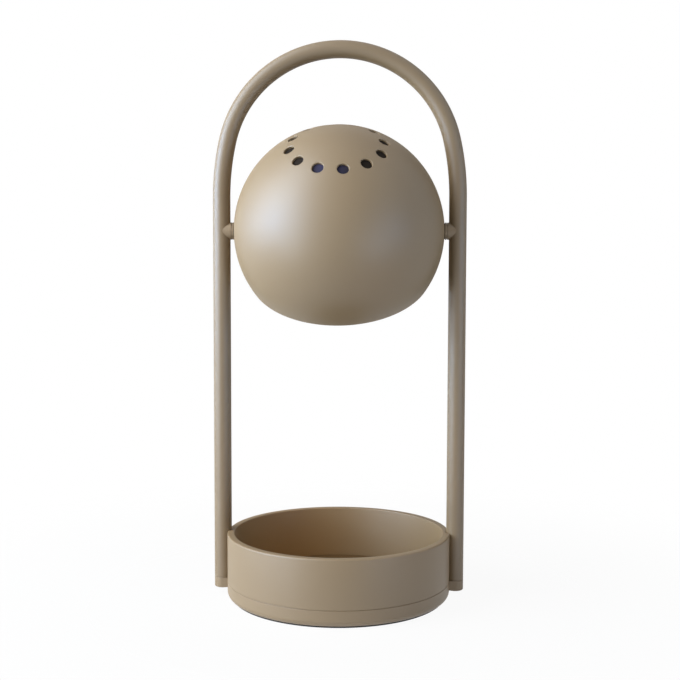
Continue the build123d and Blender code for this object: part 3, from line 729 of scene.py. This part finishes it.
class Amount:
    """What a node gives; arithmetic on it adds Math nodes."""

    def __init__(self, nodes, socket):
        self.nodes, self.socket = nodes, socket

    def maths(self, operation, first, second=0):
        """Result of a Math node."""
        return self.nodes.add("Math", {"operation": operation}, {0: first, 1: second})

    def __add__(self, other):
        return self.maths("ADD", self, other)

    def __sub__(self, other):
        return self.maths("SUBTRACT", self, other)

    def __rsub__(self, other):
        return self.maths("SUBTRACT", other, self)

    def __mul__(self, other):
        return self.maths("MULTIPLY", self, other)

    def __gt__(self, other):
        return self.maths("GREATER_THAN", self, other)

    def __abs__(self):
        return self.maths("ABSOLUTE", self)

    __radd__ = __add__
    __rmul__ = __mul__


# %% Node trees


class Nodes:
    """A node tree and the methods that add to it."""

    def __init__(self, tree):
        self.tree = tree

    def add(self, kind, settings=None, sockets=None, output=0):
        """Adds a node, whose kind is its type without ShaderNode, and returns one of its outputs.

        The settings come first, then the values or links of the sockets.
        """
        made = self.tree.nodes.new("ShaderNode" + kind)
        for name, value in (settings or {}).items():
            setattr(made, name, value)
        for name, value in (sockets or {}).items():
            self.feed(made.inputs[name], value)
        return Amount(self, made.outputs[output]) if len(made.outputs) else None

    def feed(self, socket, value):
        """Links an amount to a socket, or sets a plain value."""
        if isinstance(value, Amount):
            self.tree.links.new(value.socket, socket)
        else:
            socket.default_value = value

    def place(self, size):
        """Object coordinates counted in steps of a size, or of one size along each axis."""
        here = self.add("TexCoord", output="Object")
        step = tuple(1 / np.broadcast_to(size, 3))
        return self.add("VectorMath", {"operation": "MULTIPLY"}, {0: here, 1: step})

    def noise(self, size, detail=2.0, roughness=0.5):
        """Cloudy noise between 0 and 1 whose features have about the given size."""
        return self.add("TexNoise", None,
                        {"Vector": self.place(size), "Scale": 1.0, "Detail": detail, "Roughness": roughness})

    def mix(self, share, first, second):
        """Colour between two colours, either of which may change too."""
        colours = [value if isinstance(value, Amount) else value + (1,) for value in (first, second)]
        return self.add("Mix", {"data_type": "RGBA"}, {0: share, 6: colours[0], 7: colours[1]}, output=2)

    def bump(self, height, depth):
        """Normal from a height between 0 and 1 that stands for a depth."""
        return self.add("Bump", None, {"Height": height, "Distance": depth})


# %% Materials


class Finish(Nodes):
    """One material with a Principled shader. Values that are the same all over are set when it is made."""

    def __init__(self, name, **constants):
        self.material = bpy.data.materials.new(name)
        self.material.use_nodes = True
        super().__init__(self.material.node_tree)
        self.shader = self.tree.nodes["Principled BSDF"]
        self.wear(**constants)

    def wear(self, **values):
        """Sets or links the shader's own sockets, named with _ for a space."""
        for socket, value in values.items():
            self.feed(self.shader.inputs[socket.replace("_", " ")], value)
        return self.material


# %% [markdown]
# ## Powder coat
# The lamp is powder coated in a warm sand colour. Powder melts into a satin skin that is never quite flat: it
# has an orange-peel wave of about a millimetre and a finer grain. Both are small bumps here, the roughness
# follows the grain, and the colour drifts a little over the piece. The photographed highlights are cool, so
# the gloss is tinted. The hoop gets a darker copy of the coat, which is painted shade: it darkens the legs
# and crown, which these lights leave lighter than the rest. Inside, the ball has only a dark blue primer.

# %% Paint
SAND = (0.306, 0.211, 0.110)
SAND_DEEP = (0.288, 0.196, 0.099)
COOL_GLOSS = (0.70, 0.83, 1.0, 1.0)
# A factor below 1 paints shade on the hoop's copy of the coat.
HOOP_PAINTED_SHADE = 0.88


def sand_paint(name, painted_shade_factor=1.0):
    """Powder coat in the sand colours, each times a factor, which paints shade when it is below 1."""
    finish = Finish(name, Specular_IOR_Level=1.0, Specular_Tint=COOL_GLOSS)
    cloud = finish.noise(45 * MM)
    peel = finish.noise(1.3 * MM)
    grain = finish.noise(0.28 * MM)
    deep, full = (tuple(painted_shade_factor * part for part in sand) for sand in (SAND_DEEP, SAND))
    colour = finish.mix(cloud * 0.7 + grain * 0.3, deep, full)
    height = finish.bump(peel * 0.8 + grain * 0.2, 0.007 * MM)
    return finish.wear(Base_Color=colour, Roughness=grain * 0.08 + 0.44, Normal=height)


def dark_primer():
    """Matt primer with a fine grain."""
    finish = Finish("dark_primer")
    grain = finish.noise(0.4 * MM)
    colour = finish.mix(grain, (0.045, 0.045, 0.110), (0.065, 0.065, 0.150))
    return finish.wear(Base_Color=colour, Roughness=grain * 0.1 + 0.5, Normal=finish.bump(grain, 0.01 * MM))


paint = sand_paint("sand_paint")
for piece in painted + [ball]:
    piece.data.materials.append(paint)
# The hoop's darker copy of the coat is painted shade.
hoop.data.materials.append(sand_paint("hoop_paint", HOOP_PAINTED_SHADE))
ball.data.materials.append(dark_primer())
print("painted:", [piece.name for piece in painted + [ball, hoop]])

# %% [markdown]
# ## Other finishes
# Most of the other pieces are moulded, plated or cut from sheet, so a few recipes cover them. A moulded piece
# has a fine eroded grain. Metal has scratches, which are noise stretched along one axis. A circuit board has
# tracks under its lacquer, taken here from the joints of a brick pattern. Foil is crumpled, so its bump is
# large.

# %% Moulded pieces and metal


def moulded(name, dark, light, rough, grain_size=0.35 * MM, depth=0.012 * MM, constants=None):
    """Moulded plastic or rubber: a slow drift of colour and a fine grain."""
    finish = Finish(name, **(constants or {}))
    cloud = finish.noise(9 * MM)
    grain = finish.noise(grain_size, detail=3.0)
    return finish.wear(Base_Color=finish.mix(cloud * 0.6 + grain * 0.4, dark, light),
                       Roughness=grain * 0.14 + rough, Normal=finish.bump(grain, depth))


def metal(name, dark, light, rough, scratch=(0.12 * MM, 6 * MM, 0.12 * MM)):
    """Plated or milled metal with fine scratches along Y."""
    finish = Finish(name, Metallic=1.0)
    lines = finish.noise(scratch, detail=3.0)
    stain = finish.noise(5 * MM)
    return finish.wear(Base_Color=finish.mix(stain * 0.5 + lines * 0.5, dark, light),
                       Roughness=lines * 0.16 + rough, Normal=finish.bump(lines, 0.004 * MM))


# %% Board and foil


def circuit(name, lacquer, track):
    """Circuit board: tracks raised a little under the lacquer."""
    finish = Finish(name, Specular_IOR_Level=0.5)
    tracks = finish.add("TexBrick", {"offset": 0.37, "squash": 1.6},
                        {"Vector": finish.place(6 * MM), "Scale": 1.0, "Mortar Size": 0.06}, output="Fac")
    cloud = finish.noise(4 * MM)
    lacquered = finish.mix(cloud, lacquer, tuple(0.85 * value for value in lacquer))
    return finish.wear(Base_Color=finish.mix(tracks, lacquered, track), Roughness=cloud * 0.1 + 0.3,
                       Normal=finish.bump(tracks, 0.03 * MM))


def foil(name, dark, light):
    """Laminated foil drawn tight over a cell: broad dents and fine creases."""
    finish = Finish(name, Metallic=0.85)
    dents = finish.noise(7 * MM, detail=4.0, roughness=0.6)
    return finish.wear(Base_Color=finish.mix(dents, dark, light), Roughness=dents * 0.2 + 0.28,
                       Normal=finish.bump(dents, 0.25 * MM))


# %% Fibre, gauze and chips


def pressed_fibre(name, dark, light):
    """Friction fibre: short strands that cross each other."""
    finish = Finish(name)
    strands = finish.noise((0.08 * MM, 0.9 * MM, 0.9 * MM), detail=3.0)
    cross = finish.noise((0.9 * MM, 0.9 * MM, 0.08 * MM), detail=3.0)
    weave = strands * 0.5 + cross * 0.5
    return finish.wear(Base_Color=finish.mix(weave, dark, light), Roughness=weave * 0.15 + 0.75,
                       Normal=finish.bump(weave, 0.03 * MM))


def gauze_cloth(name, dark, blue, middle=-3.5 * MM, reach=15 * MM):
    """Woven gauze: bumps where two sets of threads cross. Its share of painted blue reflection is 1 - |x - middle|
    / reach.
    """
    finish = Finish(name, Specular_IOR_Level=0.03)
    along = finish.add("SeparateXYZ", None, {0: finish.place(reach)}, output="X")
    # Painted reflection: blue like the cool light's reflection, strongest at the front vents and fading to the
    # sides.
    painted_reflection_share = 1 - abs(along - middle / reach)
    threads = finish.noise((0.12 * MM, 1.2 * MM, 0.5 * MM), detail=1.0)
    across = finish.noise((1.2 * MM, 0.12 * MM, 0.5 * MM), detail=1.0)
    weave = threads * 0.5 + across * 0.5
    colour = finish.mix(painted_reflection_share * (weave * 0.4 + 0.8), dark, blue)
    return finish.wear(Base_Color=colour, Roughness=weave * 0.2 + 0.4, Normal=finish.bump(weave, 0.02 * MM))


def chips_under_gel(name, gel, chip):
    """Light chips that show through a yellow gel as a pattern of cells."""
    finish = Finish(name, Coat_Weight=0.4)
    cells = finish.add("TexVoronoi", None,
                       {"Vector": finish.place(1.1 * MM), "Scale": 1.0, "Randomness": 0.15},
                       output="Distance")
    cloud = finish.noise(2 * MM)
    return finish.wear(Base_Color=finish.mix(cells > 0.32, chip, finish.mix(cloud, gel, chip)),
                       Roughness=cloud * 0.1 + 0.25, Normal=finish.bump(cells, 0.05 * MM))


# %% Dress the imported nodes
recipes = {
    # The tray floor's dark brown is painted shade: it stands for the deep shade at the bottom of the tray, next to
    # its walls.
    "floor_paint": (moulded, (0.092, 0.052, 0.014), (0.114, 0.066, 0.020), 0.62, 0.5 * MM, 0.02 * MM),
    "button_paint": (moulded, (0.270, 0.186, 0.096), (0.296, 0.206, 0.108), 0.40, 0.25 * MM, 0.008 * MM,
                     {"Specular_IOR_Level": 0.6}),
    "dark_pad": (moulded, (0.012, 0.012, 0.013), (0.026, 0.026, 0.028), 0.72, 0.6 * MM, 0.06 * MM),
    "dark_fibre": (pressed_fibre, (0.010, 0.009, 0.008), (0.034, 0.030, 0.026)),
    "steel": (metal, (0.44, 0.45, 0.47), (0.58, 0.58, 0.59), 0.24),
    "nylon": (moulded, (0.60, 0.58, 0.52), (0.68, 0.66, 0.60), 0.42, 0.4 * MM, 0.01 * MM,
              {"Subsurface_Weight": 0.2, "Subsurface_Scale": 2 * MM}),
    "switch_plastic": (moulded, (0.008, 0.008, 0.009), (0.016, 0.016, 0.018), 0.48),
    "cell_foil": (foil, (0.42, 0.44, 0.47), (0.56, 0.57, 0.60)),
    "circuit_green": (circuit, (0.008, 0.060, 0.026), (0.030, 0.120, 0.050)),
    "circuit_white": (circuit, (0.74, 0.74, 0.71), (0.64, 0.63, 0.58)),
    "phosphor": (chips_under_gel, (0.80, 0.50, 0.06), (0.88, 0.66, 0.16)),
    "plain_aluminium": (metal, (0.52, 0.53, 0.54), (0.64, 0.64, 0.65), 0.34),
    "black_aluminium": (metal, (0.020, 0.020, 0.026), (0.040, 0.040, 0.050), 0.42),
    "white_reflector": (moulded, (0.80, 0.80, 0.77), (0.86, 0.86, 0.83), 0.16, 0.8 * MM, 0.004 * MM),
    "opal": (moulded, (0.60, 0.58, 0.54), (0.66, 0.64, 0.60), 0.34, 0.3 * MM, 0.008 * MM,
             {"Subsurface_Weight": 0.5, "Subsurface_Scale": 4 * MM}),
    "lead_insulation": (moulded, (0.010, 0.010, 0.011), (0.020, 0.020, 0.022), 0.38, 0.5 * MM),
    "grommet_rubber": (moulded, (0.008, 0.008, 0.008), (0.018, 0.018, 0.018), 0.66, 0.2 * MM),
}
finishes = {slot: recipe(slot, *values) for slot, (recipe, *values) in recipes.items()}
finishes["sand_paint"] = paint
slot_of = {part["node"]: part["material_slot"] for part in frame["record"]["subparts"]}
for name, node in frame["nodes"].items():
    node.data.materials.clear()
    node.data.materials.append(finishes[slot_of[name]])
for piece, slot in ((opal_disc, "opal"), (wire_clip, "steel"), (button, "button_paint"), (socket, "steel"),
                    (pad, "dark_pad")):
    piece.data.materials.append(finishes[slot])
socket.data.materials.append(finishes["switch_plastic"])
# The gauze's blue is a painted reflection of the cool light on the front vents.
gauze.data.materials.append(gauze_cloth("gauze", (0.028, 0.022, 0.018), (0.064, 0.062, 0.120)))
for piece in washers:
    piece.data.materials.append(finishes["dark_fibre"])
print("finishes for the record's slots:", len(finishes))

# %% [markdown]
# ## Camera
# The photograph was taken from the front, a little right of the middle and from about the height of the
# ball's lower edge. The camera looks down slightly, which is why the tray's rim is seen as an ellipse.

# %% Camera
camera_place = np.array((30.67, -632.96, 191.44)) * MM
camera_yaw, camera_pitch, camera_roll = radians(-2.719), radians(3.865), radians(0.132)
focal_pixels, frame_pixels = 1103.8, 680


def pose(across, up, back, place):
    """Matrix of an object whose own X, Y and Z point along three directions."""
    turn = np.stack((across, up, back), axis=1)
    return Matrix(np.block([[turn, np.reshape(place, (3, 1))], [np.zeros((1, 3)), np.ones((1, 1))]]).tolist())


forward = np.array((sin(camera_yaw) * cos(camera_pitch), cos(camera_yaw) * cos(camera_pitch),
                    -sin(camera_pitch)))
level = np.array((cos(camera_yaw), -sin(camera_yaw), 0))
above = np.cross(level, forward)
lens = bpy.data.cameras.new("camera")
lens.sensor_width = 36.0
lens.lens = focal_pixels / frame_pixels * lens.sensor_width
lens.clip_start = 10 * MM
camera = add_object("camera", lens)
camera.matrix_world = pose(cos(camera_roll) * level + sin(camera_roll) * above,
                           cos(camera_roll) * above - sin(camera_roll) * level, -forward, camera_place)
bpy.context.scene.camera = camera
print("lens:", round(lens.lens, 1), "mm")

# %% [markdown]
# ## Studio
# Two large soft lights on the left and one high on that side make the broad highlight on the ball and leave
# the inner side of the left leg dark. Weak ones on the right and behind lift the shaded sides. Five small
# lights have a grid in front, which keeps their beam narrow, so they reach the ball and hardly the tray. The
# lights are a little cooler than the paint, so the highlights look cool and the shaded parts warm. A narrow
# amber spotlight stands for the light that goes back and forth between the tray's walls and takes on their
# colour each time. The surroundings are white where they are seen, also in reflections, and nearly dark where
# they would only light the lamp.

# %% Soft light
LAMP_MIDDLE = (0, 0, 0.2)


def aimed(place, target):
    """Matrix of a light at a place that shines at a target."""
    back = np.subtract(place, target)
    back = back / np.linalg.norm(back)
    across = np.cross((0, 0, 1), back)
    across = across / np.linalg.norm(across)
    return pose(across, np.cross(back, across), back, place)


def softbox(name, place, power, colour, width=0.6, height=0.8, spread=180):
    """Rectangular soft light that faces the lamp's middle and that no camera sees; spread is in degrees."""
    data = bpy.data.lights.new(name, "AREA")
    data.shape = "RECTANGLE"
    data.size, data.size_y = width, height
    data.energy, data.color = power, colour
    data.spread = radians(spread)
    light = add_object(name, data)
    light.visible_camera = False
    light.matrix_world = aimed(place, LAMP_MIDDLE)


# %% Lights
WHITE = (1.0, 1.0, 1.0)
COOL = (0.80, 0.90, 1.0)
WARM = (1.0, 0.90, 0.72)
BLUISH = (0.45, 0.68, 1.0)
AMBER = (1.0, 0.5, 0.0)
GRIDDED = {"width": 0.25, "height": 0.25, "spread": 26}

softbox("key_left", (-1.0, -0.1, 0.42), 6.9, COOL)
softbox("key_front", (-0.8, -0.65, 0.42), 6.8, COOL)
softbox("high_left", (-0.75, -0.35, 1.0), 7.4, WHITE)
softbox("fill_front", (0.8, -0.65, 0.30), 0.9, COOL)
softbox("fill_high", (0.75, -0.35, 1.0), 0.9, WARM)
softbox("back_fill", (0.25, 1.2, 0.55), 1.2, WHITE)
softbox("ball_low", (-0.6, -0.5, 0.0), 0.034, WHITE, **GRIDDED)
softbox("ball_left", (-0.85, -0.3, 0.33), 0.098, BLUISH, **GRIDDED)
softbox("ball_edge", (-0.95, 0.22, 0.25), 0.028, BLUISH, **GRIDDED)
softbox("ball_right", (0.5, -0.6, 0.0), 0.030, COOL, **GRIDDED)
softbox("ball_side", (0.85, -0.42, 0.22), 0.021, BLUISH, **GRIDDED)

tray_spot = bpy.data.lights.new("tray_amber", "SPOT")
tray_spot.energy, tray_spot.color = 3.9, AMBER
tray_spot.spot_size, tray_spot.spot_blend = radians(12), 1.0
tray_spot.shadow_soft_size = 30 * MM
add_object("tray_amber", tray_spot).matrix_world = aimed((0.22, -0.45, 0.46), (-0.028, 0.050, 0.026))
print("lights:", len(bpy.data.lights))

# %% Surroundings


def seen(nodes):
    """1 for a ray that shows what it meets: from the camera, from a reflection or through something clear."""
    rays = [nodes.add("LightPath", output=name)
            for name in ("Is Camera Ray", "Is Glossy Ray", "Is Transmission Ray")]
    return rays[0] + rays[1] + rays[2]


world = bpy.data.worlds.new("studio")
world.use_nodes = True
bpy.context.scene.world = world
sky = Nodes(world.node_tree)
sky.tree.nodes.clear()
dim = sky.add("Background", None, {"Color": (1.0, 0.97, 0.93, 1), "Strength": 0.05})
white = sky.add("Background", None, {"Color": (1, 1, 1, 1), "Strength": 1.0})
sky.add("OutputWorld", None, {0: sky.add("MixShader", None, {0: seen(sky), 1: dim, 2: white})})
print("surroundings:", world.name)

# %% [markdown]
# The floor keeps the lamp's soft shadow. It is a pale matt plane with a light of its own where it is seen,
# and it fades out around the lamp, so that no edge or horizon shows against the white. From below it is
# clear.

# %% Floor
floor_half = 1.0
floor_white, floor_glow = 0.85, 0.94
fade_start, fade_end = 0.08, 0.36


def stage_sheet(name, corners):
    """Flat sheet of the set, and the empty node tree of its finish."""
    mesh = bpy.data.meshes.new(name)
    mesh.from_pydata(corners, [], [(0, 1, 2, 3)])
    sheet = add_object(name, mesh)
    finish = bpy.data.materials.new(name)
    finish.use_nodes = True
    finish.node_tree.nodes.clear()
    mesh.materials.append(finish)
    print("stage:", name)
    return sheet, Nodes(finish.node_tree)


floor, ground = stage_sheet("floor", [(-floor_half, -floor_half, 0), (floor_half, -floor_half, 0),
                                      (floor_half, floor_half, 0), (-floor_half, floor_half, 0)])
matt = ground.add("BsdfDiffuse", None, {"Color": (floor_white, floor_white, floor_white, 1)})
glow = ground.add("Emission", None, {"Strength": 1.0})
lit = ground.add("MixShader", None, {0: seen(ground) * floor_glow, 1: matt, 2: glow})
distance = ground.add("VectorMath", {"operation": "LENGTH"}, {0: ground.place(1.0)}, output="Value")
fade = ground.add("MapRange", {"interpolation_type": "SMOOTHSTEP"},
                  {"Value": distance, "From Min": fade_start, "From Max": fade_end})
from_below = ground.add("NewGeometry", output="Backfacing")
clear = ground.add("BsdfTransparent")
faded = ground.add("MixShader", None, {0: 1 - (1 - fade) * (1 - from_below), 1: lit, 2: clear})
ground.add("OutputMaterial", None, {0: faded})

# %% [markdown]
# White all round would brighten every edge that turns away from the camera, because a glancing view makes
# even satin paint a mirror. A grey card behind the lamp, which only reflections see, keeps the tray's rim and
# the right edges as dark as they are in the photograph. It ends a little left of the lamp, so the left edges
# still reflect white.

# %% Grey card
card_back, card_left, card_right, card_low, card_top = 0.9, -0.45, 1.2, -0.2, 0.9
card_glow = 0.2
card, plain = stage_sheet("card", [(card_left, card_back, card_low), (card_right, card_back, card_low),
                                   (card_right, card_back, card_top), (card_left, card_back, card_top)])
card.visible_camera = card.visible_diffuse = card.visible_transmission = card.visible_shadow = False
plain.add("OutputMaterial", None, {0: plain.add("Emission", None, {"Strength": card_glow})})

# %% [markdown]
# ## Colours
# The Standard view shows a colour as it is written.

# %% Colours
bpy.context.scene.view_settings.view_transform = "Standard"
